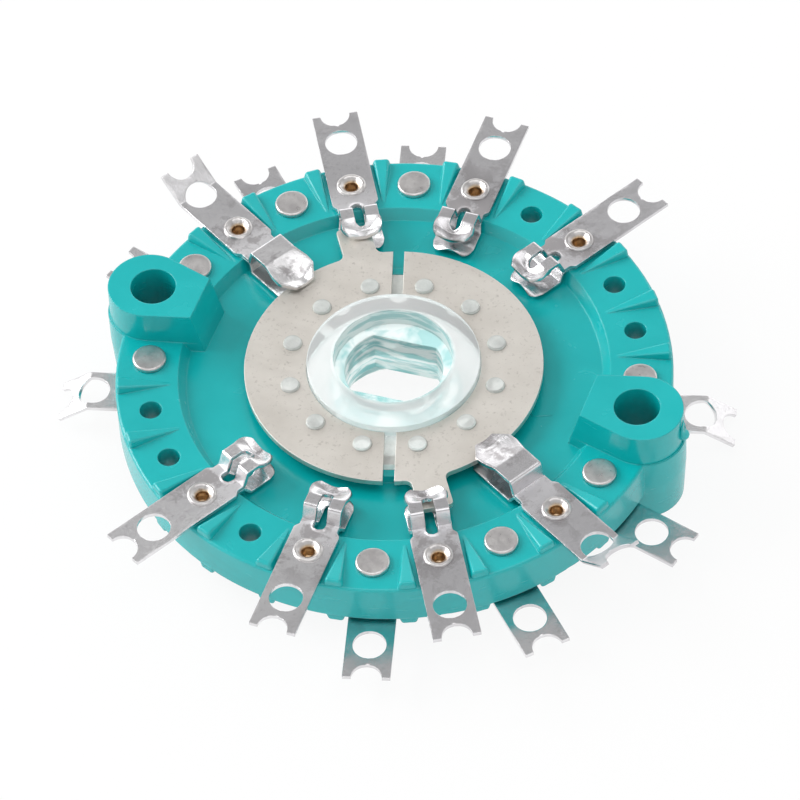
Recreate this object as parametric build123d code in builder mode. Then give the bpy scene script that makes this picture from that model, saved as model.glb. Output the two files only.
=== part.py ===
from build123d import *
import os
from math import acos, atan2, cos, hypot, radians, sin, tan

os.makedirs("parts", exist_ok=True)

# One deck of a rotary wafer switch, in millimetres, +Z up.
# The origin is on the rotor's axis, level with the lower ends of the two fixing bosses, which lie on the X axis.
# The rim has 24 places, numbered clockwise seen from above, with a boss at place 0. Each face carries two poles
# of three ways.

# Places round the rim
places = 24
pitch_radius = 15.875

# Poles: name, face and place of the common contact; the pole's ways and the blades' slot lie at these offsets
poles = (("top_a", 1, 14), ("top_b", 1, 2), ("bottom_a", -1, 11), ("bottom_b", -1, 23))
way_offsets = (2, 4, 6)
slot_offset = 3

# Stator: rim, web and bearing lip
rim_margin = 2.125
rim_thickness = 3.0
rim_edge_fillet = 0.2
pad_margin = 1.925
well_depth = 0.7
well_slope = 0.5
well_edge_fillet = 0.25
lip_width = 0.7
lip_drop = 0.05
lip_chamfer = 0.2
rivet_hole_radius = 0.715

# Stator: wedge ribs between neighbouring places, rising and widening from a point near the well to the rim
rib_inner_setback = 0.3
rib_end_setback = 0.1
rib_lug_clearance = 0.1
rib_height = 0.58
rib_root = 0.1
rib_flank = 0.22
rib_crown_fillet = 0.2
rib_end_fillet = 0.18
rib_point_scale = 0.12

# Stator: fixing bosses, drafted towards their ends, with an inner face that slopes down to the web.
# The mould parts at the upper pads, where the upper half is a ledge smaller.
boss_rise = 2.4
boss_ledge = 0.12
boss_hole_setback = 1.5
boss_hole_radius = 1.475
boss_end_setback = 1.15
boss_overhang = 0.7
boss_lug_clearance = 0.05
boss_jaw_clearance = 0.14
boss_draft = 0.16
boss_inner_slope = 0.83

# Rotor: hub and pegs
running_clearance = 0.08
blade_seat = 0.15
peg_land = 2.45
hub_rim_rise = 0.45
hub_collar_rise = 0.85
recess_margin = 0.65
recess_depth = 1.3
spindle_hole_radius = 3.2
spindle_flat_distance = 2.4
pegs_per_blade = 6
peg_shank_radius = 0.5
peg_head_radius = 0.64
peg_head_height = 0.18
peg_head_draft_angle = 25

# Rotor: blades, two half rings on each face, each with a tab that enters the way contacts
blade_thickness = 0.4
blade_clearance = 0.05
blade_lap = 1.59
slot_width = 0.75
tab_tip_gap = 1.85
tab_length = 2.46
tab_width = 2.2
tab_root_fillet = 0.5
tab_corner_fillet = 0.25
rotor_turn = 2.8

# Contacts: a lug leaf over a spring leaf, both held by one rivet
lug_thickness = 0.25
spring_thickness = 0.2
lug_gap = 1.1
lug_overhang = 4.35
lug_hole_overhang = 1.8
lug_hole_radius = 1.07
lug_notch_radius = 0.98
lug_bend_overhang = 2.1
lug_bend_angle = 34
lug_bend_radius = 0.5
shoulder_setback = 0.35
shoulder_length = 0.3
shoulder_step = 0.27
root_step = 0.17
root_length = 1.5
leaf_bend_radius = 0.25
leaf_hole_radius = 0.72
leaf_slot_width = 0.76
leaf_slot_length = 2.1
leaf_slot_setback = 0.15

# Jaws: each leaf steps away from the blade's plane to a crest, then dips in a keel that wipes the blade.
# Each step below is how much narrower a jaw is than the lug, on each side.
contact_gap = 0.05
crest_height = 1.45
well_gap = 0.2
common_foot_setback = 0.75
common_riser_run = 0.3
common_crest_length = 1.7
common_wipe = 0.15
common_jaw_step = 0.1
common_tip_step = 0.27
common_wing_height = 1.15
way_foot_setback = 0.5
way_riser_run = 0.4
way_crest_length = 0.85
way_wipe = 0.6
way_jaw_step = 0.19
way_tip_step = 0.42
way_wing_height = 1.4
spring_jaw_step = 0.14
jaw_tip_length = 0.7
jaw_tip_lift = 0.05
wing_tip_drop = 0.15
keel_flat_width = 0.5
keel_start = 0.04

# Rivets: flat head on one face, hollow end flared over the leaves on the other
rivet_shank_radius = 0.65
rivet_head_radius = 1.1
rivet_head_height = 0.35
flare_radius = 0.95
flare_height = 0.15
rivet_bore_radius = 0.43
rivet_mouth_radius = 0.62
rivet_bore_depth = 1.2

# Sizes that follow from those above, outwards from the rivets' circle and then inwards to the rotor
step = 360 / places
rim_radius = pitch_radius + rim_margin
well_radius = pitch_radius - pad_margin
tab_radius = well_radius - tab_tip_gap
ring_radius = tab_radius - tab_length
bore_radius = ring_radius - blade_lap
disc_radius = bore_radius - running_clearance
hub_radius = bore_radius - peg_land
peg_circle_radius = bore_radius - peg_land / 2
peg_step = 180 / pegs_per_blade
recess_radius = spindle_hole_radius + recess_margin
lug_half_width = pitch_radius * sin(radians(step / 2)) - lug_gap / 2
neck_half_width = lug_half_width - shoulder_step
root_half_width = lug_half_width - root_step
spring_jaw_half_width = lug_half_width - spring_jaw_step
rib_inner_radius = well_radius + rib_inner_setback
rib_outer_radius = rim_radius - rib_end_setback
rib_half_width = rib_outer_radius * sin(radians(step / 2)) - lug_half_width - rib_lug_clearance
boss_hole_centre = rim_radius - boss_hole_setback
boss_end_centre = rim_radius - boss_end_setback
boss_foot_radius = boss_end_centre * sin(radians(step)) - lug_half_width - boss_lug_clearance
boss_end_radius = boss_foot_radius - boss_draft
boss_inner_radius = well_radius - boss_overhang
boss_foot_inner = boss_inner_radius - boss_inner_slope
boss_pad_inner = boss_foot_inner + boss_inner_slope * well_depth / (boss_rise + well_depth)
boss_inner_half_width = (
    boss_foot_inner * tan(radians(step)) - spring_jaw_half_width / cos(radians(step)) - boss_jaw_clearance
)

# Heights, measured from the middle of the rim
pad = rim_thickness / 2
web = pad - well_depth
lip = pad - lip_drop
boss_end = pad + boss_rise
middle = boss_end
blade_inner = pad + blade_seat
blade_outer = blade_inner + blade_thickness
stack = pad + spring_thickness + lug_thickness
upright = Plane(origin=(0, 0, middle), x_dir=(1, 0, 0), z_dir=(0, -1, 0))


def place_angle(place):
    """Angle of a place from the X axis; places run clockwise from the boss on the axis."""
    return -place * step


def level(height, turn=0, side=1):
    """Plane at a height from the middle of the rim, turned about the axis, facing up or down."""
    direction = (cos(radians(turn)), sin(radians(turn)), 0)
    return Plane(origin=(0, 0, middle + side * height), x_dir=direction, z_dir=(0, 0, side))


def mirrored(points):
    """A profile's upper points followed by the same points below the middle of the rim."""
    return points + [(x, -y) for x, y in reversed(points)]


def tangent_point(inner, half_width, end_radius):
    """Where a flank from a boss's inner corner meets its round end."""
    reach = hypot(boss_end_centre - inner, half_width)
    corner = atan2(half_width, inner - boss_end_centre)
    touch_angle = corner - acos(end_radius / reach)
    return boss_end_centre + end_radius * cos(touch_angle), end_radius * sin(touch_angle)


# The ribs stand between all neighbouring places except beside the bosses
rib_places = [place + 0.5 for place in range(places)]
boss_neighbours = (0.5, places / 2 - 0.5, places / 2 + 0.5, places - 0.5)
rib_angles = [place_angle(place) for place in rib_places if place not in boss_neighbours]
hole_angles = [place_angle(place) for place in range(places) if place not in (0, places / 2)]

# One rib, drawn along X above the middle of the rim and rooted in the pad
with BuildPart() as rib:
    for radius, scale in ((rib_outer_radius, 1), (rib_inner_radius, rib_point_scale)):
        with BuildSketch(Plane.YZ.offset(radius)) as rib_section:
            with Locations((0, pad - rib_root)):
                Polygon(
                    (-scale * rib_half_width, 0),
                    (scale * rib_half_width, 0),
                    (scale * (rib_half_width - rib_flank), scale * (rib_height + rib_root)),
                    (scale * (rib_flank - rib_half_width), scale * (rib_height + rib_root)),
                    align=None,
                )
            fillet(rib_section.vertices().group_by(Axis.Z)[-1], scale * rib_crown_fillet)
    loft(ruled=True)
    fillet(rib.faces().sort_by(Axis.X)[-1].edges(), rib_end_fillet)

# Stator, with each boss in two halves that meet at the upper pads: (height, inner face, end radius)
lower_half = (
    (-boss_end, boss_inner_radius, boss_end_radius),
    (-web, boss_foot_inner, boss_foot_radius),
    (web, boss_foot_inner, boss_foot_radius),
    (pad, boss_pad_inner, boss_foot_radius),
)
upper_half = (
    (pad, boss_pad_inner, boss_foot_radius - boss_ledge),
    (boss_end, boss_inner_radius, boss_end_radius),
)
with BuildPart() as stator:
    with BuildSketch(upright) as rim_section:
        with BuildLine():
            Polyline(
                mirrored([
                    (bore_radius, lip - lip_chamfer),
                    (bore_radius + lip_chamfer, lip),
                    (bore_radius + lip_width, lip),
                    (bore_radius + lip_width, web),
                    (well_radius - well_slope, web),
                    (well_radius, pad),
                    (rim_radius, pad),
                ]),
                close=True,
            )
        make_face()
        rim_corners = rim_section.vertices().group_by(Axis.X)[-1]
        well_corners = rim_section.vertices().group_by(Axis.X)[-2]
        fillet(rim_corners, rim_edge_fillet)
        fillet(well_corners, well_edge_fillet)
    revolve(axis=Axis.Z)

    for turn in (0, 180):
        for boss_half in (lower_half, upper_half):
            for height, inner, end_radius in boss_half:
                touch_x, touch_y = tangent_point(inner, boss_inner_half_width, end_radius)
                with BuildSketch(level(height, turn)):
                    with BuildLine():
                        Line((touch_x, -touch_y), (inner, -boss_inner_half_width))
                        Line((inner, -boss_inner_half_width), (inner, boss_inner_half_width))
                        Line((inner, boss_inner_half_width), (touch_x, touch_y))
                        ThreePointArc(
                            (touch_x, touch_y), (boss_end_centre + end_radius, 0), (touch_x, -touch_y)
                        )
                    make_face()
            loft(ruled=True)

    with Locations([level(0, angle, side).location for side in (1, -1) for angle in rib_angles]):
        add(rib.part)

    with BuildSketch(level(-boss_end)):
        with Locations([Location((0, 0, 0), (0, 0, angle)) for angle in hole_angles]):
            with Locations((pitch_radius, 0)):
                Circle(rivet_hole_radius)
        with Locations((boss_hole_centre, 0), (-boss_hole_centre, 0)):
            Circle(boss_hole_radius)
    extrude(amount=2 * boss_end, mode=Mode.SUBTRACT)
stator.part.label = "stator"
export_step(stator.part, "parts/stator.step")

# Rotor hub: a bearing disc between the blades, a raised hub on each face and the pegs that hold the blades
hub_rim = blade_outer + hub_rim_rise
hub_collar = blade_outer + hub_collar_rise
recess_floor = hub_collar - recess_depth
with BuildPart() as rotor_hub:
    with BuildSketch(upright):
        with BuildLine():
            Polyline(
                mirrored([
                    (0, recess_floor),
                    (recess_radius, recess_floor),
                    (recess_radius, hub_collar),
                    (hub_radius, hub_rim),
                    (hub_radius, blade_inner),
                    (disc_radius, blade_inner),
                ]),
                close=True,
            )
        make_face()
    revolve(axis=Axis.Z)

    for pole, side, common_place in poles:
        slot_angle = place_angle(common_place + slot_offset) + rotor_turn
        with BuildSketch(level(blade_inner, slot_angle, side)):
            with PolarLocations(peg_circle_radius, pegs_per_blade, peg_step / 2, 180):
                Circle(peg_shank_radius)
        extrude(amount=blade_thickness)
        with BuildSketch(level(blade_outer, slot_angle, side)):
            with PolarLocations(peg_circle_radius, pegs_per_blade, peg_step / 2, 180):
                Circle(peg_head_radius)
        extrude(amount=peg_head_height, taper=peg_head_draft_angle)

    with BuildSketch(level(-hub_collar, rotor_turn)):
        Circle(spindle_hole_radius)
        Rectangle(2 * spindle_hole_radius, 2 * spindle_flat_distance, mode=Mode.INTERSECT)
    extrude(amount=2 * hub_collar, mode=Mode.SUBTRACT)
rotor_hub.part.label = "rotor_hub"
export_step(rotor_hub.part, "parts/rotor_hub.step")

# Rotor blades: one pressed shape, used four times, always the same way up. The slot between a pair lies along
# its plane's x direction, and the tab stands at the pole's first way.
peg_hole_radius = peg_shank_radius + blade_clearance
for pole, side, common_place in poles:
    blade_name = f"blade_{pole}"
    slot_angle = place_angle(common_place + slot_offset) + rotor_turn
    tab_turn = (slot_offset - way_offsets[0]) * step
    blade_floor = blade_inner if side > 0 else -blade_outer
    with BuildPart() as blade:
        with BuildSketch(level(blade_floor, slot_angle)) as outline:
            Circle(ring_radius)
            with Locations(Rotation(0, 0, tab_turn)):
                with Locations((tab_radius / 2, 0)):
                    Rectangle(tab_radius, tab_width)
            fillet(outline.vertices().group_by(SortBy.DISTANCE)[-1], tab_corner_fillet)
            tab_roots = outline.vertices().filter_by(
                lambda corner: abs(hypot(corner.X, corner.Y) - ring_radius) < 0.01 and corner.Y > 0.01
            )
            fillet(tab_roots, tab_root_fillet)
            Circle(hub_radius + blade_clearance, mode=Mode.SUBTRACT)
            with Locations((0, slot_width / 2 - tab_radius)):
                Rectangle(2 * tab_radius, 2 * tab_radius, mode=Mode.SUBTRACT)
            with PolarLocations(peg_circle_radius, pegs_per_blade, peg_step / 2, 180):
                Circle(peg_hole_radius, mode=Mode.SUBTRACT)
        extrude(amount=blade_thickness)
    blade.part.label = blade_name
    export_step(blade.part, f"parts/{blade_name}.step")

# Contact leaves are drawn once each with their length along X, about the middle of the rim, then placed.
# A jaw station is (radius, half width, lower height at the edges, lower height along the keel).
shoulder_radius = well_radius + shoulder_setback
lug_middle = pad + spring_thickness + lug_thickness / 2
lug_end = rim_radius + lug_overhang
lug_hole_centre = rim_radius + lug_hole_overhang
lug_bend = rim_radius + lug_bend_overhang
lug_tip_length = lug_end - lug_bend
root_end = pitch_radius + root_length
spring_middle = pad + spring_thickness / 2
upper_crest = pad + crest_height - lug_thickness
lower_crest = web + well_gap
upper_wipe = blade_outer + contact_gap
lower_wipe = blade_inner - contact_gap - spring_thickness

jaws = {
    "common": {
        "foot": well_radius - common_foot_setback,
        "riser": common_riser_run,
        "crest": common_crest_length,
        "nose": ring_radius - common_wipe,
        "half_width": lug_half_width - common_jaw_step,
        "tip_half_width": lug_half_width - common_tip_step,
        "wing": pad + common_wing_height - lug_thickness,
    },
    "way": {
        "foot": well_radius - way_foot_setback,
        "riser": way_riser_run,
        "crest": way_crest_length,
        "nose": tab_radius - way_wipe,
        "half_width": lug_half_width - way_jaw_step,
        "tip_half_width": lug_half_width - way_tip_step,
        "wing": pad + way_wing_height - lug_thickness,
    },
}


def jaw_section(half_width, edge, keel, thickness):
    """Closed outline of a leaf across its width: flat along the keel and sloping to the two edges."""
    flat = keel_flat_width / 2
    lower = [(-half_width, edge), (-flat, keel), (flat, keel), (half_width, edge)]
    return lower + [(y, z + thickness) for y, z in reversed(lower)]


leaves = {}
for kind, jaw in jaws.items():
    crest_start = jaw["foot"] - jaw["riser"]
    crest_end = crest_start - jaw["crest"]
    nose = jaw["nose"]
    tip = nose - jaw_tip_length
    shoulder = (nose + crest_end) / 2

    with BuildPart() as lug_leaf:
        with BuildSketch(Plane.XZ):
            with BuildLine():
                if kind == "common":
                    tip_run = lug_tip_length * cos(radians(lug_bend_angle))
                    tip_rise = lug_tip_length * sin(radians(lug_bend_angle))
                    FilletPolyline(
                        (lug_bend + tip_run, lug_middle + tip_rise),
                        (lug_bend, lug_middle),
                        (pitch_radius, lug_middle),
                        radius=lug_bend_radius,
                    )
                else:
                    Line((lug_end, lug_middle), (pitch_radius, lug_middle))
                FilletPolyline(
                    (pitch_radius, lug_middle),
                    (jaw["foot"], lug_middle),
                    (crest_start, upper_crest + lug_thickness / 2),
                    (crest_end, upper_crest + lug_thickness / 2),
                    radius=leaf_bend_radius,
                )
            trace(line_width=lug_thickness)
        extrude(amount=lug_half_width, both=True)
        with BuildSketch(Plane.XY):
            Polygon(
                (lug_end + lug_thickness, -lug_half_width),
                (lug_end + lug_thickness, lug_half_width),
                (shoulder_radius, lug_half_width),
                (shoulder_radius - shoulder_length, neck_half_width),
                (crest_end, neck_half_width),
                (crest_end, -neck_half_width),
                (shoulder_radius - shoulder_length, -neck_half_width),
                (shoulder_radius, -lug_half_width),
                align=None,
            )
        extrude(amount=2 * boss_end, mode=Mode.INTERSECT)
        for radius, half_width, edge, keel in (
            (crest_end, neck_half_width, upper_crest, upper_crest - keel_start),
            (shoulder, jaw["half_width"], (upper_crest + jaw["wing"]) / 2, (upper_crest + upper_wipe) / 2),
            (nose, jaw["half_width"], jaw["wing"], upper_wipe),
            (tip, jaw["tip_half_width"], jaw["wing"] - wing_tip_drop, upper_wipe + jaw_tip_lift),
        ):
            with BuildSketch(Plane.YZ.offset(radius)):
                with BuildLine():
                    Polyline(jaw_section(half_width, edge, keel, lug_thickness), close=True)
                make_face()
        loft(ruled=True)
        with BuildSketch(Plane.XY):
            with Locations((pitch_radius, 0)):
                Circle(leaf_hole_radius)
            with Locations((lug_hole_centre, 0)):
                Circle(lug_hole_radius)
            if kind == "way":
                with Locations((shoulder_radius - leaf_slot_setback - leaf_slot_length / 2, 0)):
                    SlotOverall(leaf_slot_length, leaf_slot_width)
        extrude(amount=2 * boss_end, mode=Mode.SUBTRACT)
        bend_angle = lug_bend_angle if kind == "common" else 0
        notch_centre = (lug_bend + lug_tip_length * cos(radians(bend_angle)), 0,
                        lug_middle + lug_tip_length * sin(radians(bend_angle)))
        notch_normal = (-sin(radians(bend_angle)), 0, cos(radians(bend_angle)))
        with BuildSketch(Plane(origin=notch_centre, x_dir=(0, 1, 0), z_dir=notch_normal)):
            Circle(lug_notch_radius)
        extrude(amount=lug_thickness, both=True, mode=Mode.SUBTRACT)
    leaves["lug", kind] = lug_leaf.part

    with BuildPart() as spring_leaf:
        with BuildSketch(Plane.XZ):
            with BuildLine():
                FilletPolyline(
                    (root_end, spring_middle),
                    (jaw["foot"], spring_middle),
                    (crest_start, lower_crest + spring_thickness / 2),
                    (crest_end, lower_crest + spring_thickness / 2),
                    radius=leaf_bend_radius,
                )
            trace(line_width=spring_thickness)
        extrude(amount=lug_half_width, both=True)
        with BuildSketch(Plane.XY):
            with Locations((root_end - root_half_width, 0)):
                Circle(root_half_width)
            Polygon(
                (root_end - root_half_width, -root_half_width),
                (root_end - root_half_width, root_half_width),
                (shoulder_radius, root_half_width),
                (shoulder_radius - shoulder_length, neck_half_width),
                (jaw["foot"], neck_half_width),
                (crest_start, spring_jaw_half_width),
                (crest_end, spring_jaw_half_width),
                (crest_end, -spring_jaw_half_width),
                (crest_start, -spring_jaw_half_width),
                (jaw["foot"], -neck_half_width),
                (shoulder_radius - shoulder_length, -neck_half_width),
                (shoulder_radius, -root_half_width),
                align=None,
            )
        extrude(amount=2 * boss_end, mode=Mode.INTERSECT)
        for radius, half_width, edge, keel in (
            (crest_end, spring_jaw_half_width, lower_crest, lower_crest + keel_start),
            (shoulder, spring_jaw_half_width, lower_crest, (lower_crest + lower_wipe) / 2),
            (nose, spring_jaw_half_width, lower_crest, lower_wipe),
            (tip, jaw["tip_half_width"], lower_crest, lower_wipe - jaw_tip_lift),
        ):
            with BuildSketch(Plane.YZ.offset(radius)):
                with BuildLine():
                    Polyline(jaw_section(half_width, edge, keel, spring_thickness), close=True)
                make_face()
        loft(ruled=True)
        with BuildSketch(Plane.XY):
            with Locations((pitch_radius, 0)):
                Circle(leaf_hole_radius)
            if kind == "way":
                with Locations((shoulder_radius - leaf_slot_setback - leaf_slot_length / 2, 0)):
                    SlotOverall(leaf_slot_length, leaf_slot_width)
        extrude(amount=2 * boss_end, mode=Mode.SUBTRACT)
    leaves["spring", kind] = spring_leaf.part

# Each pole has a common contact and its ways beside it
contacts = []
for pole, side, common_place in poles:
    contacts.append((f"{pole}_common", side, place_angle(common_place), "common"))
    for number, offset in enumerate(way_offsets, start=1):
        contacts.append((f"{pole}_way_{number}", side, place_angle(common_place + offset), "way"))

for contact_name, side, angle, kind in contacts:
    seat = level(0, angle, side)
    for leaf_name in ("lug", "spring"):
        with BuildPart() as leaf:
            with Locations(seat.location):
                add(leaves[leaf_name, kind])
        leaf.part.label = f"{leaf_name}_leaf_{contact_name}"
        export_step(leaf.part, f"parts/{leaf.part.label}.step")

# Rivets: those of the top contacts have their hollow ends up, those of the bottom contacts have them down
with BuildPart() as rivet:
    with BuildSketch(Plane.XZ):
        with BuildLine():
            Polyline(
                (0, -pad - rivet_head_height),
                (rivet_head_radius, -pad - rivet_head_height),
                (rivet_head_radius, -pad),
                (rivet_shank_radius, -pad),
                (rivet_shank_radius, stack),
                (flare_radius, stack),
                (flare_radius - flare_height, stack + flare_height),
                (rivet_mouth_radius, stack + flare_height),
                (rivet_bore_radius, stack - flare_height),
                (rivet_bore_radius, stack - rivet_bore_depth),
                (0, stack - rivet_bore_depth),
                close=True,
            )
        make_face()
    revolve(axis=Axis.Z)

for face_name, face_side in (("top", 1), ("bottom", -1)):
    with BuildPart() as rivets:
        for contact_name, side, angle, kind in contacts:
            if side == face_side:
                seat = level(0, angle, side) * Location((pitch_radius, 0, 0))
                with Locations(seat):
                    add(rivet.part)
    rivets.part.label = f"rivets_{face_name}_contacts"
    export_step(rivets.part, f"parts/{rivets.part.label}.step")
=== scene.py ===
import math
from types import SimpleNamespace

import bmesh
import bpy
import numpy as np
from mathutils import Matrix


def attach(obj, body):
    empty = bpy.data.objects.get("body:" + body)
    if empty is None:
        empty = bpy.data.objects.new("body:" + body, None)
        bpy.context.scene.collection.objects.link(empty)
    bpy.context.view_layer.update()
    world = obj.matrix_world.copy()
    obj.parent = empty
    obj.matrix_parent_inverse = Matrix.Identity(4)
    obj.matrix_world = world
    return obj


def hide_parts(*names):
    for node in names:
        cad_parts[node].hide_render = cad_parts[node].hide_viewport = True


# One deck of a rotary wafer switch, dressed for looks. The leaves, the rivets and the moulding flash are made
# here: worked out in millimetres, with heights counted from the middle of the stator's rim, and put into the frame
# in metres. The stator, the hub and the blades are the CAD's own meshes, with materials made here.

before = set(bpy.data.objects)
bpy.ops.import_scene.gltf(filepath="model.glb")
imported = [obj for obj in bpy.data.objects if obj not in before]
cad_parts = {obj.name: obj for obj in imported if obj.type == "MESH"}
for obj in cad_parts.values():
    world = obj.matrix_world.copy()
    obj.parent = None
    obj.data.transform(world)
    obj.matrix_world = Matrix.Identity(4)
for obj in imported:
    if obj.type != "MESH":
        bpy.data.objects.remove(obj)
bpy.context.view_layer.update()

MM = 0.001
STATOR_BODY = "stator_body"

# The stator, the blades and the stack of leaves under a rivet, as in the part's source. PAD, WEB and the blade's
# two faces are heights above the middle of the rim, and HOLE_STEP is in degrees.
RIM_MIDDLE = 3.9
PITCH_RADIUS = 15.875
HOLE_STEP = 15.0
PAD = 1.5
WEB = 0.8
BLADE_INNER = 1.65
BLADE_OUTER = 2.05
LUG_THICKNESS = 0.25
SPRING_THICKNESS = 0.2
SPRING_MIDDLE = PAD + SPRING_THICKNESS / 2
LUG_MIDDLE = PAD + SPRING_THICKNESS + LUG_THICKNESS / 2
STACK = PAD + SPRING_THICKNESS + LUG_THICKNESS

# Each pole's name, its face (1 upper, -1 lower) and the hole of its common contact. Its way contacts stand the
# offsets further on. Holes are counted clockwise, seen from above.
POLES = (("top_a", 1, 14), ("top_b", 1, 2), ("bottom_a", -1, 11), ("bottom_b", -1, 23))
WAY_OFFSETS = (2, 4, 6)


# ---- Materials ----


class Wire:
    """An output socket of a node tree. Sums, differences and products of wires and numbers add Math nodes."""

    def __init__(self, finish, socket):
        self.finish = finish
        self.socket = socket

    def _math(self, operation, first, second):
        return self.finish.node("ShaderNodeMath", {"operation": operation}, {0: first, 1: second})

    def __add__(self, other):
        return self._math("ADD", self, other)

    def __sub__(self, other):
        return self._math("SUBTRACT", self, other)

    def __rsub__(self, other):
        return self._math("SUBTRACT", other, self)

    def __mul__(self, other):
        return self._math("MULTIPLY", self, other)

    __radd__ = __add__
    __rmul__ = __mul__


class Finish:
    """A node tree, the one method that adds nodes to it, and the groups of nodes that the materials share."""

    def __init__(self, tree):
        self.tree = tree
        tree.nodes.clear()

    def node(self, kind, settings=None, inputs=None, output=0):
        """Adds a node: its settings first, then the values or links of its sockets. Gives one output as a wire."""
        made = self.tree.nodes.new(kind)
        for name, value in (settings or {}).items():
            if name == "stops":
                elements = made.color_ramp.elements
                while len(elements) < len(value):
                    elements.new(0.5)
                for element, (position, shade) in zip(elements, value):
                    element.position = position
                    element.color = (shade, shade, shade, 1)
            else:
                setattr(made, name, value)
        for name, value in (inputs or {}).items():
            socket = made.inputs[name]
            if isinstance(value, Wire):
                self.tree.links.new(value.socket, socket)
            else:
                socket.default_value = value
        return Wire(self, made.outputs[output]) if made.outputs else None

    def ramp(self, value, stops):
        """A number that follows another through stops of (value, result)."""
        return self.node("ShaderNodeValToRGB", {"stops": stops}, {0: value})

    def mix(self, share, first, second):
        """Two colours mixed by a share."""
        return self.node("ShaderNodeMix", {"data_type": "RGBA"}, {0: share, 6: first, 7: second}, 2)

    def cover(self, first, second, value, start, full, most=1.0):
        """A colour that gives way to a second one where a value is high: from start on, and most at full."""
        return self.mix(self.ramp(value, [(start, 0.0), (full, most)]), first, second)

    def noise(self, place, scale, detail, roughness=0.5, distortion=0.0):
        """Smooth noise from 0 to 1 at a place; scale counts its lumps in a unit of the place."""
        return self.node("ShaderNodeTexNoise", None, {"Vector": place, "Scale": scale, "Detail": detail,
                                                      "Roughness": roughness, "Distortion": distortion})

    def stretch(self, place, scale):
        """A place with its axes stretched."""
        return self.node("ShaderNodeVectorMath", {"operation": "MULTIPLY"}, {0: place, 1: scale})

    def part(self, place, axis):
        """One coordinate of a place."""
        return self.node("ShaderNodeSeparateXYZ", None, {0: place}, axis)

    def bump(self, height, strength, distance, rounding=None):
        """The normal of a surface with a height on it, its edges rounded by a radius if one is given."""
        inputs = {"Strength": strength, "Distance": distance, "Height": height}
        if rounding is not None:
            inputs["Normal"] = self.node("ShaderNodeBevel", {"samples": 6}, {"Radius": rounding})
        return self.node("ShaderNodeBump", None, inputs)

    def edges(self, radius):
        """How far the rounded normal leans from the flat one: near 1 on edges, 0 on plain faces."""
        rounded = self.node("ShaderNodeBevel", {"samples": 4}, {"Radius": radius})
        flat = self.node("ShaderNodeNewGeometry", output="Normal")
        lean = self.node("ShaderNodeVectorMath", {"operation": "DOT_PRODUCT"}, {0: rounded, 1: flat}, "Value")
        return self.ramp(1 - lean, [(0.0, 0.0), (0.12, 1.0)])


def teal_plastic(finish, place):
    """Moulded teal: faint flow marks and clouding, a fine moulded grain, and every rounded edge painted lighter as
    a highlight.
    """
    deep, clouded = (0.0004, 0.385, 0.395, 1), (0.0008, 0.430, 0.440, 1)
    # streaked is the tone of a flow mark; the lightest teal is a painted edge highlight
    streaked, painted_edge_highlight = (0.003, 0.47, 0.48, 1), (0.02, 0.58, 0.59, 1)
    cloud = finish.noise(place, 90, detail=4)
    flow = finish.noise(finish.stretch(place, (1, 1, 6)), 420, detail=3, roughness=0.6, distortion=0.4)
    grain = finish.noise(place, 5200, detail=2)
    colour = finish.cover(deep, clouded, cloud, 0.35, 0.65)
    colour = finish.cover(colour, streaked, flow, 0.4, 0.75, most=0.35)
    # Painted highlight: the rounded edges are mixed towards a lighter teal, as if they caught the light
    colour = finish.mix(finish.edges(0.18 * MM) * 0.2, colour, painted_edge_highlight)
    return {
        "Base Color": colour,
        "Roughness": finish.ramp(flow, [(0.3, 0.20), (0.8, 0.30)]),
        "Normal": finish.bump(flow * 0.35 + grain * 0.12, 0.1, 0.1 * MM, rounding=0.11 * MM),
    }


def blade_silver(finish, place):
    """Pressed blade: satin silver with a warm bloom, fine pits, faint rolling streaks, scratches across, and edges
    painted nearly white as a highlight.
    """
    silver, bloomed = (0.760, 0.727, 0.677, 1), (0.660, 0.625, 0.575, 1)
    # The nearly white silver is a painted edge highlight
    pitted, painted_edge_highlight = (0.42, 0.39, 0.35, 1), (0.93, 0.92, 0.90, 1)
    bloom = finish.noise(place, 230, detail=4, roughness=0.6)
    pits = finish.noise(place, 3800, detail=3, roughness=0.6)
    streaks = finish.noise(finish.stretch(place, (1, 14, 1)), 260, detail=4, roughness=0.65)
    scratches = finish.noise(finish.stretch(place, (10, 1, 1)), 900, detail=2, distortion=1.5)
    colour = finish.cover(silver, bloomed, bloom, 0.35, 0.7)
    colour = finish.cover(colour, pitted, pits, 0.58, 0.72, most=0.45)
    # Painted highlight: the rounded edges are mixed towards a nearly white silver
    colour = finish.mix(finish.edges(0.08 * MM) * 0.6, colour, painted_edge_highlight)
    height = pits * 0.4 + streaks * 0.07 + scratches * 0.06
    return {
        "Base Color": colour,
        "Roughness": finish.ramp(streaks, [(0.3, 0.46), (0.75, 0.53)]),
        "Normal": finish.bump(height, 0.16, 0.08 * MM, rounding=0.06 * MM),
    }


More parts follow.
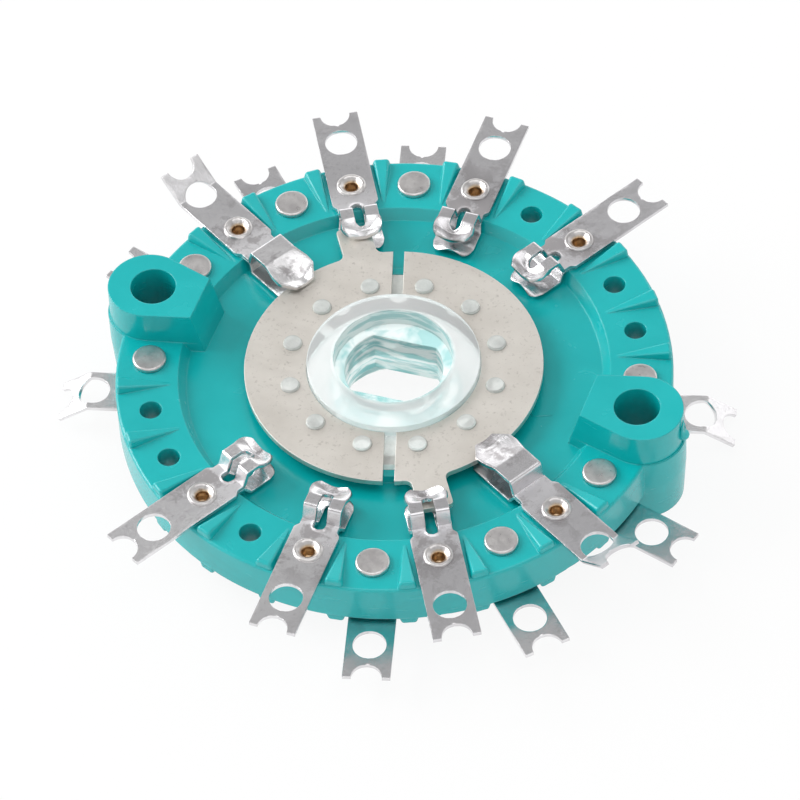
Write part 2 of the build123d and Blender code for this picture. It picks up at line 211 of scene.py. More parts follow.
def leaf_plate(finish, place):
    """Plated leaf: rolling streaks along it, soft waves from the press, and grey patches that are partly tarnish
    and partly painted shade, laid on most by the rivet and at the keel near the tip.

    The leaf's own UV map gives the millimetres along it from its outer end, and across it from its middle line.
    """
    bright, dull = (0.90, 0.89, 0.90, 1), (0.72, 0.71, 0.73, 1)
    # The dark grey serves both for tarnish and for painted shade
    tarnish_and_shade_grey, pitted = (0.36, 0.34, 0.345, 1), (0.50, 0.48, 0.48, 1)
    sheet = finish.node("ShaderNodeUVMap", {"uv_map": "sheet"})
    length = finish.part(sheet, "X")
    middle = finish.node("ShaderNodeMath", {"operation": "ABSOLUTE"}, {0: finish.part(sheet, "Y")})
    streaks = finish.noise(finish.stretch(sheet, (1, 22, 1)), 3.2, detail=4, roughness=0.6)
    level = finish.noise(place, 55, detail=1)
    waves = finish.noise(place, 260, detail=2, roughness=0.4)
    patches = finish.noise(place, 900, detail=5, roughness=0.66, distortion=0.3)
    pits = finish.noise(place, 4200, detail=2)
    reach = length * 0.08  # 1 at 12.5 mm along the leaf
    # Painted shade: the patches are laid on most by the rivet, for the darker reflection of a slightly bowed leaf,
    # and near the tip along the keel, for the dark reflection of the blade
    keel = finish.ramp(reach, [(0.87, 0.0), (0.94, 0.9)]) * finish.ramp(middle, [(0.45, 1.0), (0.95, 0.25)])
    painted_shade_along = finish.ramp(reach, [(0.24, 0.15), (0.45, 0.75), (0.69, 1.0), (0.745, 0.12)]) + keel
    tarnish_and_painted_shade = finish.ramp(patches + (waves - 0.5) * 0.6, [(0.46, 0.0), (0.57, 1.0)]) * painted_shade_along
    colour = finish.cover(bright, dull, level, 0.35, 0.65)
    colour = finish.mix(tarnish_and_painted_shade * 0.8, colour, tarnish_and_shade_grey)
    colour = finish.cover(colour, pitted, pits, 0.60, 0.74, most=0.35)
    scuffs = finish.ramp(length * 0.1, [(0.62, 0.0), (0.82, 0.16), (0.88, 0.16), (0.92, 0.0)])  # 1 at 10 mm
    height = streaks * 0.22 + waves * 5.5 + patches * 0.06 + pits * 0.04
    return {
        "Base Color": colour,
        "Roughness": finish.ramp(tarnish_and_painted_shade * 0.25 + streaks * 0.4, [(0.0, 0.14), (0.7, 0.32)]) + scuffs,
        "Normal": finish.bump(height, 0.2, 0.2 * MM),
    }


def rivet_metal(finish, place):
    """Rivet: dull plated head and flare over brass, which shows golden down the bore.

    The rivet's own UV map gives the depth below the flare's top in millimetres.
    """
    plate, dull, stained = (0.70, 0.68, 0.67, 1), (0.54, 0.52, 0.52, 1), (0.30, 0.285, 0.285, 1)
    brass, brown = (0.72, 0.55, 0.36, 1), (0.30, 0.21, 0.14, 1)
    depth = finish.part(finish.node("ShaderNodeUVMap", {"uv_map": "profile"}), "X")
    grain = finish.noise(place, 2300, detail=4, roughness=0.6)
    spots = finish.noise(place, 900, detail=4, roughness=0.6)
    outside = finish.cover(plate, dull, spots, 0.40, 0.68)
    outside = finish.cover(outside, stained, grain, 0.56, 0.72, most=0.4)
    inside = finish.cover(brass, brown, grain, 0.4, 0.7)
    return {
        "Base Color": finish.cover(outside, inside, depth + grain * 0.12, 0.20, 0.32),
        "Roughness": finish.ramp(grain, [(0.3, 0.26), (0.7, 0.42)]),
        "Normal": finish.bump(grain * 0.5 + spots * 0.45, 0.22, 0.1 * MM),
    }


def clear_plastic(finish, place):
    """Clear moulding: faint flow lines, milky staked pegs, and teal and white streaks painted down the spindle
    hole as a painted reflection of the teal web seen through the wall, which also glows with painted light.

    Its bands follow the radius, which is 1 at 10 mm from the axis: the spindle hole's wall lies inside 0.40, and
    the staked pegs outside 0.57.
    """
    clear, flowed = (0.97, 0.992, 0.988, 1), (0.93, 0.975, 0.968, 1)
    # Both streak colours are a painted reflection of the teal web seen through the spindle hole's wall
    painted_teal_refraction, pale = (0.34, 0.76, 0.76, 1), (0.94, 0.985, 0.98, 1)
    peg, hazed = (0.97, 0.99, 0.96, 1), (0.80, 0.83, 0.80, 1)
    # The glow colours are painted light: the spindle hole's wall emits them so that it shows bright, as light
    # coming through the clear moulding would make it
    dark, painted_glow_low, painted_glow_high = (0.0, 0.0, 0.0, 1), (0.015, 0.085, 0.088, 1), (0.19, 0.22, 0.215, 1)
    radius = finish.node("ShaderNodeVectorMath", {"operation": "LENGTH"},
                         {0: finish.stretch(place, (100, 100, 0))}, "Value")
    flow = finish.noise(finish.stretch(place, (1, 1, 3)), 480, detail=3, roughness=0.6, distortion=0.6)
    streaks = finish.noise(finish.stretch(place, (1, 1, 5)), 400, detail=3, roughness=0.55, distortion=0.6)
    haze = finish.noise(place, 1500, detail=4, roughness=0.65)
    dust = finish.noise(place, 4200, detail=2)
    painted_streak_band = finish.ramp(streaks, [(0.42, 0.0), (0.55, 1.0)])
    colour = finish.cover(clear, flowed, flow, 0.4, 0.7)
    # Painted reflection: the spindle hole's wall is coloured in teal and white streaks
    colour = finish.mix(finish.ramp(radius, [(0.375, 0.75), (0.40, 0.0)]), colour, finish.mix(painted_streak_band, painted_teal_refraction, pale))
    colour = finish.cover(colour, finish.cover(peg, hazed, haze, 0.35, 0.65), radius, 0.57, 0.60)
    painted_glow = finish.mix(painted_streak_band, painted_glow_low, painted_glow_high)
    return {
        "Base Color": colour,
        "Roughness": finish.ramp(dust, [(0.55, 0.05), (0.8, 0.2)]),
        "Normal": finish.bump(flow * 1.5 + dust * 0.1, 0.08, 0.1 * MM, rounding=0.12 * MM),
        # Painted light: only the spindle hole's wall glows
        "Emission Color": finish.mix(finish.ramp(radius, [(0.38, 1.0), (0.41, 0.0)]), dark, painted_glow),
        "Frosted": finish.ramp(radius + (haze - 0.5) * 0.02, [(0.56, 0.38), (0.60, 0.62)]),
    }


METAL = {"Metallic": 1.0}
MILKY = {"Transmission Weight": 0.3, "Roughness": 0.45}


def surface(name, build, uniform):
    """A material with a Principled shader. build gives the sockets that vary; uniform gives the plain ones.

    Where build also gives a share called Frosted, a milky version of the same shader is mixed in by it.
    """
    material = bpy.data.materials.new(name)
    material.use_nodes = True
    finish = Finish(material.node_tree)
    varying = build(finish, finish.node("ShaderNodeTexCoord", output="Object"))
    frosted = varying.pop("Frosted", None)
    shader = finish.node("ShaderNodeBsdfPrincipled", None, {**uniform, **varying})
    if frosted is not None:
        milky = finish.node("ShaderNodeBsdfPrincipled", None, {**uniform, **varying, **MILKY})
        shader = finish.node("ShaderNodeMixShader", None, {0: frosted, 1: shader, 2: milky})
    finish.node("ShaderNodeOutputMaterial", None, {"Surface": shader})
    return material


TEAL = surface("moulded_teal", teal_plastic, {"Specular IOR Level": 0.65})
SILVER = surface("satin_silver", blade_silver, METAL)
PLATE = surface("bright_plate", leaf_plate, METAL)
RIVET = surface("rivet_plate", rivet_metal, METAL)
# Its Emission Strength makes the spindle hole's wall glow with painted light
CLEAR = surface("clear_moulding", clear_plastic,
                {"Transmission Weight": 0.74, "IOR": 1.46, "Emission Strength": 1.0})


# ---- Surfaces ----

MERGE_DISTANCE = 2e-7


def piece(name, points, faces, material, body, replaced, uv=None, uv_name="sheet"):
    """A mesh object in the frame, from points in millimetres, its faces and a UV pair for each point.

    body, material and replaced say what it rides, its finish, and which CAD nodes it stands for.
    """
    mesh = bpy.data.meshes.new(name)
    mesh.from_pydata((points * MM).tolist(), [], faces.tolist())
    if uv is not None:
        layer = mesh.uv_layers.new(name=uv_name)
        corner = np.empty(len(mesh.loops), np.int32)
        mesh.loops.foreach_get("vertex_index", corner)
        layer.data.foreach_set("uv", uv[corner].astype(np.float32).ravel())
    shape = bmesh.new()
    shape.from_mesh(mesh)
    bmesh.ops.remove_doubles(shape, verts=shape.verts, dist=MERGE_DISTANCE)
    shape.to_mesh(mesh)
    shape.free()
    mesh.polygons.foreach_set("use_smooth", np.ones(len(mesh.polygons), bool))
    mesh.materials.append(material)
    made = bpy.data.objects.new(name, mesh)
    bpy.context.scene.collection.objects.link(made)
    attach(made, body)
    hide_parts(*replaced)
    return made


def grid_faces(rows, columns, closed=False, start=0):
    """Quads between neighbouring rows and columns of a grid; closed joins the last column to the first."""
    index = start + np.arange(rows * columns).reshape(rows, columns)
    if closed:
        index = np.concatenate([index, index[:, :1]], axis=1)
    return np.stack([index[:-1, :-1], index[1:, :-1], index[1:, 1:], index[:-1, 1:]], axis=-1).reshape(-1, 4)


def seated(points, hole, side):
    """Points of a leaf or rivet at their hole: X outwards, Z away from the rim's middle on that face."""
    angle = math.radians(-hole * HOLE_STEP)
    out = np.array([math.cos(angle), math.sin(angle), 0.0])
    up = np.array([0.0, 0.0, float(side)])
    return points @ np.stack([out, np.cross(up, out), up]) + [0, 0, RIM_MIDDLE]


# ---- Leaves ----

CONTACT_GAP = 0.05

# Distances from the axis, radii of holes, and half widths of the lug leaf, which reaches from the lug's end to the
# jaw, and of the spring leaf under it, which starts at its root
LUG_END = 22.35
LUG_BEND = 20.1
LUG_HOLE_CENTRE = 19.8
LUG_HOLE_RADIUS = 1.07
NOTCH_RADIUS = 0.98
RIVET_HOLE_RADIUS = 0.72
SPRING_ROOT = PITCH_RADIUS + 1.5
SHOULDER_RADIUS = 14.3
NECK_RADIUS = SHOULDER_RADIUS - 0.3
SLOT_OUTER = 14.15
SLOT_INNER = 11.7
SLOT_HALF_WIDTH = 0.38
LUG_HALF_WIDTH = 1.52
ROOT_HALF_WIDTH = 1.35
NECK_HALF_WIDTH = 1.25
SPRING_JAW = 1.38

# The jaw: the crest's top above the pad, the spring leaf's height over the web, and how the tips run out past the
# nose, where the keels come nearest the blade
CREST = 1.45
SPRING_FOOT = 0.2
NOSE_LENGTH = 0.7
WING_DROP = 0.15
KEEL_LIFT = 0.05
SPRING_TIP_RADIUS = 0.4

# Lengths over which the corners of a path and of an outline are rounded
LUG_EASE, SPRING_EASE, WIDTH_EASE = 0.22, 0.3, 0.12

# The two kinds of contact: the lug's angle, the distances from the axis at which the leaves turn (foot and end of
# the riser, ends of the two flats, nose), the wing's height above the pad, and the half widths of jaw and tip
COMMON = SimpleNamespace(lug_angle=math.radians(34), foot=13.2, riser=12.9, lug_flat=11.45, spring_flat=11.2,
                         nose=9.49, wing=1.15, jaw=1.46, cheek=0.3, tip=0.66, tip_radius=0.12, slotted=False)
WAY = SimpleNamespace(lug_angle=0.0, foot=13.45, riser=13.05, lug_flat=12.2, spring_flat=12.2,
                      nose=11.5, wing=1.4, jaw=1.36, cheek=0.0, tip=1.15, tip_radius=0.6, slotted=True)

# Rows of a sheet along its path, and columns as shares of its half width
PATH_STEP = 0.01
ROW_STEP, ROW_LEAST, ROW_MATCH = 0.16, 0.03, 0.001
CORNER_ROWS = np.linspace(-0.14, 0.14, 7)
TIP_ROWS = 1 - np.cos(np.linspace(0, 1.45, 7))
HOLE_ROWS = np.cos(np.linspace(0, math.pi, 21))
LIP_ROWS = np.array([0.42, 0.48, 0.55, 0.63])
COLUMNS = np.array([0.0, 0.12, 0.22, 0.32, 0.44, 0.58, 0.72, 0.86, 1.0])

# Across a sheet: the trough's slope and the low ridge in it, as shares of the half width, and the lip of a slot
TROUGH_SLOPE = 0.84
RIDGE_HEIGHT, RIDGE_PLACE, RIDGE_SPREAD = 0.08, 0.16, 0.10
LIP_HEIGHT, LIP_SPREAD, LIP_FADE = 0.07, 0.10, 0.45

EDGE_ROUNDING = 0.03
SHARP_ANGLE = math.radians(50)


def station_lengths(corner):
    """The path's length at each of its stations, from its outer end."""
    return np.concatenate([[0], np.cumsum(np.hypot(np.diff(corner[:, 0]), np.diff(corner[:, 1])))])


def path_length(stations, x):
    """Length along the path from its outer end to the first place at that x."""
    corner = np.array(stations, float)
    return float(np.interp(-x, -corner[:, 0], station_lengths(corner)))


def eased(values, length):
    """Values along a path with their corners rounded: a running mean, weighted as a triangle, over the length."""
    count = max(1, int(round(length / PATH_STEP / 2)))
    window = np.concatenate([np.arange(1, count + 1), np.arange(count - 1, 0, -1)]).astype(float)
    reach = len(window) // 2
    before = values[0] + (values[0] - values[1]) * np.arange(reach, 0, -1)
    after = values[-1] + (values[-1] - values[-2]) * np.arange(1, reach + 1)
    return np.convolve(np.concatenate([before, values, after]), window / window.sum(), "valid")


def rounded_end(width, distance, radius):
    """Half widths cut down near an end, so that its corners follow a quarter circle of the radius."""
    dip = np.clip(radius - distance, 0, radius)
    return width - radius + np.sqrt(radius ** 2 - dip ** 2)


def cut_out(first, last, radius):
    """A slot between two centres, or a round hole where they are one: its half width at s, its start and end.

    Half width = root of (radius squared less the squared distance from s to the stretch between the centres).
    """
    def half_width(s):
        return np.sqrt(np.clip(radius ** 2 - (s - np.clip(s, first, last)) ** 2, 0, None))

    return half_width, max(first - radius, 0.0), last + radius


def trough(share):
    """How deep the sheet lies at a share of its half width: 0 at the edge, 1 along the keel.

    Depth = (1 - share) / slope, at most 1, less a ridge * exp(-((share - place) / spread)^2) in its deeper half.
    """
    depth = np.clip((1.0 - share) / TROUGH_SLOPE, 0, 1)
    return depth - RIDGE_HEIGHT * np.exp(-((share - RIDGE_PLACE) / RIDGE_SPREAD) ** 2) * (depth > 0.5)


def slot_lip(s, across, centre):
    """Height of the lip round the outer end of a slot, whose end is a half circle round the centre.

    Lip = height * exp(-(distance from the slot / spread)^2), fading to nothing along the slot's sides.
    """
    gap = np.hypot(np.minimum(s - centre, 0), across) - SLOT_HALF_WIDTH
    return LIP_HEIGHT * np.exp(-(gap / LIP_SPREAD) ** 2) * np.clip(1 - (s - centre) / LIP_FADE, 0, 1)


def leaf_rows(end, lengths, holes, lip, tip_radius):
    """Places of a sheet's rows along its path: an even step, and closer at its corners, holes, lip and tip."""
    places = [np.arange(0, end, ROW_STEP), (lengths[:, None] + CORNER_ROWS).ravel(), [end],
              end - tip_radius * TIP_ROWS]
    places += [(first + last) / 2 - (last - first) / 2 * HOLE_ROWS for _, first, last in holes]
    if lip is not None:
        places.append(lip - LIP_ROWS)
    rows = np.unique(np.clip(np.concatenate(places), 0, end).round(3))
    hole_ends = np.array([place for _, *ends in holes for place in ends])
    at_hole_end = np.min(np.abs(rows[:, None] - hole_ends), axis=1) < ROW_MATCH
    return rows[np.concatenate([[True], np.diff(rows) > ROW_LEAST]) | at_hole_end]


def leaf(name, stations, widths, holes, lip, tip_radius, ease, thickness, hole, side, replaced):
    """One stamped leaf as a sheet, then given its thickness.

    stations: rows of (x, edge height, keel height) along the leaf from its outer end to its tip. s is the length
    of the path through x and edge height, and its corners are rounded by a running mean over ease. widths: rows of
    (x, half width). holes: as cut_out gives them, left out round the middle line. lip: s of the centre round which
    a slot's lip stands, or None. Height = edge + (keel - edge) * trough(|y| / half width) + lip.
    """
    corner, wide = np.array(stations, float), np.array(widths, float)
    lengths = station_lengths(corner)
    s = np.arange(0, lengths[-1] + PATH_STEP / 2, PATH_STEP)
    x, edge, keel = (eased(np.interp(s, lengths, column), ease) for column in corner.T)
    half = eased(np.interp(-np.interp(s, lengths, corner[:, 0]), -wide[:, 0], wide[:, 1]), WIDTH_EASE)
    half = rounded_end(half, s[-1] - s, tip_radius)
    rows = leaf_rows(s[-1], lengths, holes, lip, tip_radius)
    x, edge, keel, half = (np.interp(rows, s, values)[:, None] for values in (x, edge, keel, half))
    inner = np.max([half_width(rows) for half_width, _, _ in holes], axis=0)[:, None]
    halves = []
    for sign, columns in ((-1, COLUMNS[::-1]), (1, COLUMNS)):
        across = inner + (half - inner) * columns
        height = edge + (keel - edge) * trough(across / half)
        if lip is not None:
            height = height + slot_lip(rows[:, None], across, lip)
        halves.append(np.stack([np.broadcast_to(x, across.shape), sign * across, height], axis=-1))
    points = np.concatenate(halves).reshape(-1, 3)
    count, columns = len(rows), len(COLUMNS)
    faces = np.concatenate([grid_faces(count, columns), grid_faces(count, columns, start=count * columns)])
    uv = np.stack([np.tile(np.repeat(rows, columns), 2), points[:, 1]], axis=1)
    made = piece(name, seated(points, hole, side), faces[:, ::-1], PLATE, STATOR_BODY,
                 replaced, uv)
    wall = made.modifiers.new("thickness", "SOLIDIFY")
    wall.thickness = thickness * MM
    wall.offset = 0
    soft = made.modifiers.new("edges", "BEVEL")
    soft.width = EDGE_ROUNDING * MM
    soft.segments = 2
    soft.limit_method = "ANGLE"
    soft.angle_limit = SHARP_ANGLE


def lug_stations(kind):
    """The lug leaf's path: lug tip, bend, foot of the riser, crest, and the jaw's nose and tip."""
    run, half = LUG_END - LUG_BEND, LUG_THICKNESS / 2
    lug_tip = LUG_MIDDLE + run * math.sin(kind.lug_angle)
    crest = PAD + CREST - half
    wing = PAD + kind.wing - half
    wipe = BLADE_OUTER + CONTACT_GAP + half
    return [
        (LUG_BEND + run * math.cos(kind.lug_angle), lug_tip, lug_tip),
        (LUG_BEND, LUG_MIDDLE, LUG_MIDDLE),
        (kind.foot, LUG_MIDDLE, LUG_MIDDLE),
        (kind.riser, crest, crest),
        (kind.lug_flat, crest, crest),
        ((kind.lug_flat + kind.nose) / 2, (crest + wing) / 2, (crest + wipe) / 2),
        (kind.nose, wing, wipe),
        (kind.nose - NOSE_LENGTH, wing - WING_DROP, wipe + KEEL_LIFT),
    ]


def spring_stations(kind):
    """The spring leaf's path: flat under the lug leaf, down into the well, along the web, and up to the blade."""
    half = SPRING_THICKNESS / 2
    low = WEB + SPRING_FOOT + half
    wipe = BLADE_INNER - CONTACT_GAP - half
    return [
        (SPRING_ROOT, SPRING_MIDDLE, SPRING_MIDDLE),
        (kind.foot, SPRING_MIDDLE, SPRING_MIDDLE),
        (kind.riser, low, low),
        (kind.spring_flat, low, low),
        ((kind.spring_flat + kind.nose) / 2, low, (low + wipe) / 2),
        (kind.nose, low, wipe),
        (kind.nose - NOSE_LENGTH, low, wipe - KEEL_LIFT),
    ]


def shared_holes(kind, stations):
    """The holes in both leaves of a contact: the rivet's, and a way contact's slot, with its outer centre."""
    rivet = path_length(stations, PITCH_RADIUS)
    holes = [cut_out(rivet, rivet, RIVET_HOLE_RADIUS)]
    if not kind.slotted:
        return holes, None
    first = path_length(stations, SLOT_OUTER) + SLOT_HALF_WIDTH
    last = path_length(stations, SLOT_INNER) - SLOT_HALF_WIDTH
    return holes + [cut_out(first, last, SLOT_HALF_WIDTH)], first


def contact(name, kind, hole, side):
    """The lug leaf and the spring leaf of one contact."""
    stations = lug_stations(kind)
    widths = [(LUG_END, LUG_HALF_WIDTH), (SHOULDER_RADIUS, LUG_HALF_WIDTH), (NECK_RADIUS, NECK_HALF_WIDTH),
              (kind.lug_flat, NECK_HALF_WIDTH), ((kind.lug_flat + kind.nose) / 2, kind.jaw),
              (kind.nose + kind.cheek, kind.jaw), (kind.nose - NOSE_LENGTH, kind.tip)]
    lug_hole = path_length(stations, LUG_BEND) + (LUG_BEND - LUG_HOLE_CENTRE)
    holes, lip = shared_holes(kind, stations)
    holes += [cut_out(0.0, 0.0, NOTCH_RADIUS), cut_out(lug_hole, lug_hole, LUG_HOLE_RADIUS)]
    leaf(f"lug_{name}", stations, widths, holes, lip, kind.tip_radius, LUG_EASE, LUG_THICKNESS,
         hole, side, [f"lug_leaf_{name}"])

    stations = spring_stations(kind)
    widths = [(SPRING_ROOT, ROOT_HALF_WIDTH), (SHOULDER_RADIUS, ROOT_HALF_WIDTH), (NECK_RADIUS, NECK_HALF_WIDTH),
              (kind.foot, NECK_HALF_WIDTH), (kind.riser, SPRING_JAW), (kind.nose, SPRING_JAW),
              (kind.nose - NOSE_LENGTH, kind.tip)]
    holes, _ = shared_holes(kind, stations)
    leaf(f"spring_{name}", stations, widths, holes, None, SPRING_TIP_RADIUS, SPRING_EASE, SPRING_THICKNESS,
         hole, side, [f"spring_leaf_{name}"])


for pole, side, common in POLES:
    contact(f"{pole}_common", COMMON, common, side)
    for number, offset in enumerate(WAY_OFFSETS, start=1):
        contact(f"{pole}_way_{number}", WAY, common + offset, side)


# ---- Rivets ----

RIVET_SIDES = 40
SHANK_RADIUS = 0.65

# Profiles as (radius, height): the head from its middle to its seat on the far face's pad, and the flared end from
# its seat on the lug leaf over its rolled edge and down the bore to the bore's end
HEAD = [(0.0, -0.345), (0.5, -0.345), (0.92, -0.345), (0.97, -0.342), (1.03, -0.325), (1.075, -0.285),
        (1.095, -0.235), (1.1, -0.18), (1.1, -0.09), (1.08, -0.03), (1.03, 0.0)]
FLARE = [(0.95, 0.0), (0.955, 0.03), (0.94, 0.08), (0.9, 0.125), (0.84, 0.148), (0.77, 0.15), (0.71, 0.13),
         (0.65, 0.08), (0.57, 0.01), (0.485, -0.06), (0.42, -0.12), (0.39, -0.2), (0.39, -0.6), (0.39, -0.95),
         (0.34, -1.0), (0.2, -1.01), (0.0, -1.21)]
FLARE_HEIGHT = 0.15

# The rolled edge: the profile's part that varies round the rivet, how deep its splits are and how far out of round
EDGE_RADIUS, EDGE_SPREAD, EDGE_DEPTH = 0.80, 0.2, 0.12
SPLIT_DEPTH, SPLIT_START, SPLIT_DRIFT = 0.10, 0.55, 0.6
LOBES = (5, 8)
OUT_OF_ROUND = 0.02


def turned(profile, around):
    """A surface of revolution about Z: each (radius, height) of the profile carried round the axis."""
    radius, height = profile[:, 0][:, None], profile[:, 1][:, None]
    return np.stack([radius * np.cos(around), radius * np.sin(around), height + 0 * around], axis=-1)


def rivets(name, side, seed, replaced):
    """The rivets of one face's contacts in one piece: a flat head, a shank in its hole, and a flared hollow end.

    Each rolled edge is a little out of round, radius * (1 + share * cos(2a + phase)), and dips where
    cos(lobes * a + phase + drift * sin(2a + phase)) is high. Both fade away from the edge as
    exp(-((radius - edge radius) / spread)^2). The phase and the number of lobes are drawn for each rivet.
    """
    rng = np.random.default_rng(seed)
    head, flare = np.array(HEAD) + [0, -PAD], np.array(FLARE) + [0, STACK]
    profile = np.concatenate([head, [[SHANK_RADIUS, -PAD], [SHANK_RADIUS, STACK]], flare])
    depth = np.where(np.arange(len(profile)) > len(head), STACK + FLARE_HEIGHT - profile[:, 1], 0.0)
    edge = np.exp(-((profile[:, 0] - EDGE_RADIUS) / EDGE_SPREAD) ** 2) * (profile[:, 1] > STACK - EDGE_DEPTH)
    edge = edge[:, None]
    around = np.linspace(0, 2 * math.pi, RIVET_SIDES, endpoint=False)
    points, faces, uv = [], [], []
    for hole in [common + offset for _, face, common in POLES if face == side for offset in (0, *WAY_OFFSETS)]:
        phase, lobes = rng.uniform(0, 6.28), rng.integers(*LOBES)
        split = np.cos(around * lobes + phase + SPLIT_DRIFT * np.sin(2 * around + phase))
        shape = turned(profile, around)
        shape[..., 2] -= SPLIT_DEPTH * edge * (np.clip(split, SPLIT_START, 1) - SPLIT_START)
        shape[..., :2] *= (1 + OUT_OF_ROUND * edge * np.cos(2 * around + phase))[..., None]
        faces.append(grid_faces(len(profile), RIVET_SIDES, closed=True, start=sum(len(p) for p in points)))
        points.append(seated(shape.reshape(-1, 3) + [PITCH_RADIUS, 0, 0], hole, side))
        turn = np.tile(around / (2 * math.pi), len(profile))
        uv.append(np.stack([np.repeat(depth, RIVET_SIDES), turn], axis=1))
    piece(name, np.concatenate(points), np.concatenate(faces)[:, ::-1], RIVET, STATOR_BODY,
          replaced, np.concatenate(uv), "profile")


rivets("rivets_top", 1, 11, ["rivets_top_contacts"])
rivets("rivets_bottom", -1, 12, ["rivets_bottom_contacts"])


# ---- Moulding flash ----

FLASH_SIDES, FLASH_POINTS = 10, 41

# The bead and the burr go round the centre of the right boss's end, by angles in degrees. The burr leans to and
# fro as it rises from its foot, and swells near it. The line on the web runs from a start, sagging to one side.
BOSS_END_CENTRE, BOSS_LEDGE_RADIUS = 16.85, 2.70
BEAD_RADIUS, BEAD_HEIGHT, BEAD_START, BEAD_SWEEP = 0.045, 0.01, -80, 115
BURR_RADIUS, BURR_OUT, BURR_FOOT, BURR_RISE = 0.10, 0.02, 0.15, 2.35
BURR_LEAN, BURR_SWING, BURR_WAVES = -1, 4, 7
SWELL_RADIUS, SWELL_PLACE, SWELL_SPREAD = 0.32, 0.38, 0.17
LINE_RADIUS, LINE_START, LINE_RUN, LINE_SAG = 0.05, (9.3, -0.1), (1.5, 0.25), 0.28


def strands(name, parts):
    """Strands of moulding flash in one piece: each is a tube round a path, with its own radius at every point.

    Ring of a point = point + radius * (cos(a) * side + sin(a) * over); side and over stand square to the path.
    """
    around = np.linspace(0, 2 * math.pi, FLASH_SIDES, endpoint=False)
    points, faces = [], []
    for path, radius, upright in parts:
        along = np.gradient(path, axis=0)
        along /= np.linalg.norm(along, axis=1)[:, None]
        side = np.cross(along, upright)
        side /= np.linalg.norm(side, axis=1)[:, None]
        over = np.cross(side, along)
        ring = np.cos(around)[:, None] * side[:, None, :] + np.sin(around)[:, None] * over[:, None, :]
        tube = path[:, None, :] + radius[:, None, None] * ring
        faces.append(grid_faces(len(path), len(around), closed=True, start=sum(len(p) for p in points)))
        points.append(tube.reshape(-1, 3))
    piece(name, np.concatenate(points), np.concatenate(faces), TEAL, STATOR_BODY, [])


def flash_parts():
    """The bead along the boss's ledge, the burr up its side and the line on the web: path, radius and upright.

    A path is rows of (x, y, height) at even shares of its length. Its radius runs out at both ends as
    root(sin(pi * share)), and upright is a direction that isn't the path's own. Lean of the burr = start +
    swing * sin(waves * share), and its swell = radius * exp(-((share - place) / spread)^2). Sag of the line =
    depth * sin(pi * root(share)).
    """
    share = np.linspace(0, 1, FLASH_POINTS)
    taper = np.sin(math.pi * share) ** 0.5
    pad = RIM_MIDDLE + PAD
    sweep = np.radians(BEAD_START + BEAD_SWEEP * share)
    bead = [BOSS_END_CENTRE + BOSS_LEDGE_RADIUS * np.cos(sweep), BOSS_LEDGE_RADIUS * np.sin(sweep),
            pad + BEAD_HEIGHT + 0 * share]
    lean = np.radians(BURR_LEAN + BURR_SWING * np.sin(BURR_WAVES * share))
    out = BOSS_LEDGE_RADIUS + BURR_OUT
    burr = [BOSS_END_CENTRE + out * np.cos(lean), out * np.sin(lean), pad - BURR_FOOT + BURR_RISE * share]
    swell = SWELL_RADIUS * np.exp(-((share - SWELL_PLACE) / SWELL_SPREAD) ** 2)
    sag = LINE_SAG * np.sin(math.pi * np.sqrt(share))
    line = [LINE_START[0] + LINE_RUN[0] * share, LINE_START[1] + LINE_RUN[1] * share - sag,
            RIM_MIDDLE + WEB + 0 * share]
    return [
        (np.stack(bead, axis=1), BEAD_RADIUS * taper, (0, 0, 1)),
        (np.stack(burr, axis=1), (BURR_RADIUS + swell) * taper, (1, 0, 0)),
        (np.stack(line, axis=1), LINE_RADIUS * taper, (0, 0, 1)),
    ]


strands("moulding_flash", flash_parts())


# ---- The CAD's own meshes ----

dressed = {"stator": TEAL, "rotor_hub": CLEAR, **{f"blade_{pole}": SILVER for pole, _, _ in POLES}}
for node, material in dressed.items():
    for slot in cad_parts[node].material_slots:
        slot.material = material


# ---- Camera, floor and light ----

# Places and sizes are in metres here, and the camera's turn is in degrees
CAMERA_PLACE = (0.09101, -0.21804, 0.28720)
CAMERA_TURN = (39.61636845, 2.32217755, 19.7886566)
CAMERA_LENS = 256.87
FLOOR_REACH = 1.5
OBJECT_MIDDLE = (0, 0, 0.004)
WHITE = (1, 1, 1, 1)


def placed(name, data):
    """An object of the scene that isn't part of the switch."""
    made = bpy.data.objects.new(name, data)
    bpy.context.scene.collection.objects.link(made)
    return made


def rays(finish, *kinds):
    """1 for a ray of one of the kinds, and 0 for any other."""
    first, *others = [finish.node("ShaderNodeLightPath", output=kind) for kind in kinds]
    return sum(others, first)


def lamp(name, place, size, power):
    """A square soft light that faces the object's middle."""
    data = bpy.data.lights.new(name, "AREA")
    data.shape = "SQUARE"
    data.size = size
    data.energy = power
    x, y, z = np.array(place) - OBJECT_MIDDLE
    made = placed(name, data)
    made.location = place
    made.rotation_euler = (math.atan2(math.hypot(x, y), z), 0, math.atan2(x, -y))


camera = placed("camera", bpy.data.cameras.new("camera"))
camera.location = CAMERA_PLACE
camera.rotation_euler = [math.radians(turn) for turn in CAMERA_TURN]
camera.data.sensor_width = 36.0
camera.data.lens = CAMERA_LENS
camera.data.clip_start = 0.01
camera.data.clip_end = 10.0
bpy.context.scene.camera = camera

floor_mesh = bpy.data.meshes.new("floor")
floor_mesh.from_pydata([(x * FLOOR_REACH, y * FLOOR_REACH, 0) for x, y in ((-1, -1), (1, -1), (1, 1), (-1, 1))],
                       [], [(0, 1, 2, 3)])
floor = placed("floor", floor_mesh)

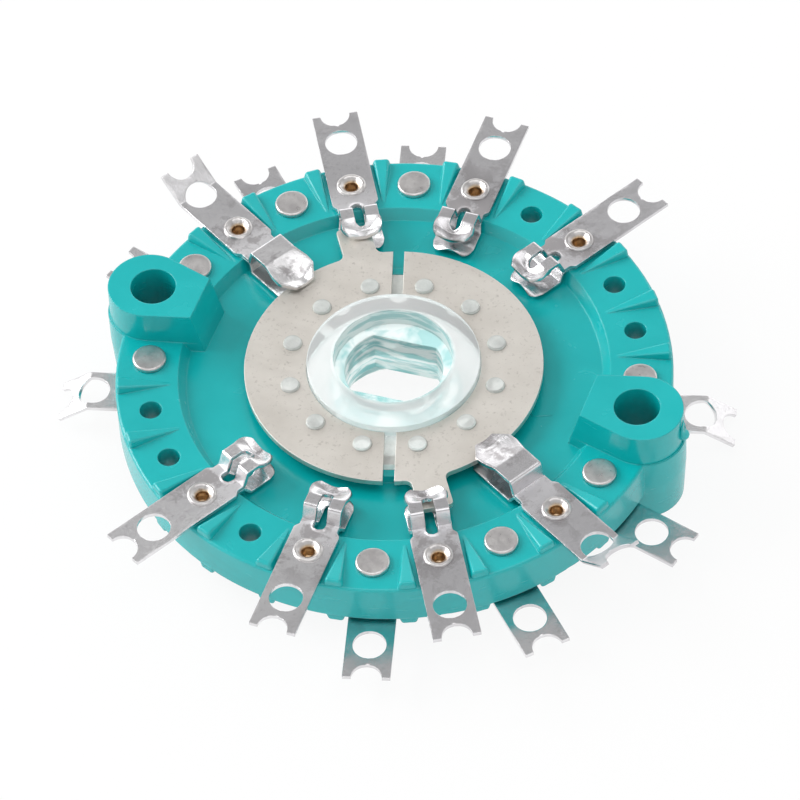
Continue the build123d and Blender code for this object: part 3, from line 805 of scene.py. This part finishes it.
# The floor is lit and shaded as pale matt paint, and shows nearly white to the camera and in reflections
floor_material = bpy.data.materials.new("pale_floor")
floor_material.use_nodes = True
pale = Finish(floor_material.node_tree)
matt = pale.node("ShaderNodeBsdfDiffuse", None, {"Color": (0.86, 0.86, 0.86, 1)})
white = pale.node("ShaderNodeEmission", None, {"Color": WHITE, "Strength": 1.0})
shown = rays(pale, "Is Camera Ray", "Is Glossy Ray", "Is Transmission Ray") * 0.9
pale.node("ShaderNodeOutputMaterial", None,
          {"Surface": pale.node("ShaderNodeMixShader", None, {0: shown, 1: matt, 2: white})})
floor_mesh.materials.append(floor_material)

# The world lights as a room does: a wall that is brightest behind the object, grey along the horizon and darker
# overhead. To the camera and through clear plastic it is white.
world = bpy.data.worlds.new("studio")
bpy.context.scene.world = world
world.use_nodes = True
sky = Finish(world.node_tree)
direction = sky.node("ShaderNodeTexCoord", output="Generated")
rise = sky.part(direction, "Z")
behind = sky.node("ShaderNodeVectorMath", {"operation": "DOT_PRODUCT"},
                  {0: direction, 1: (-0.1, 0.995, 0.0)}, "Value")
wall = sky.ramp(behind * 0.5 + 0.5, [(0.0, 0.50), (0.45, 0.48), (0.70, 0.38), (0.92, 0.92)])
room = sky.mix(sky.ramp(rise, [(0.0, 1.0), (0.08, 0.85), (0.26, 0.0)]), wall, (0.43, 0.43, 0.43, 1))
room = sky.mix(sky.ramp(rise, [(0.0, 0.0), (0.32, 0.0), (0.66, 1.0)]), room, (0.225, 0.225, 0.225, 1))
plain = sky.node("ShaderNodeBackground", None, {"Color": room, "Strength": 2.0})
white = sky.node("ShaderNodeBackground", None, {"Color": WHITE, "Strength": 1.0})
shown = rays(sky, "Is Camera Ray", "Is Transmission Ray")
sky.node("ShaderNodeOutputWorld", None,
         {"Surface": sky.node("ShaderNodeMixShader", None, {0: shown, 1: plain, 2: white})})

lamp("key", (-0.62, -0.02, 0.40), 0.50, 4.3)
lamp("overhead", (0.066, -0.05, 0.65), 0.60, 1.2)

bpy.context.scene.view_settings.view_transform = "Standard"
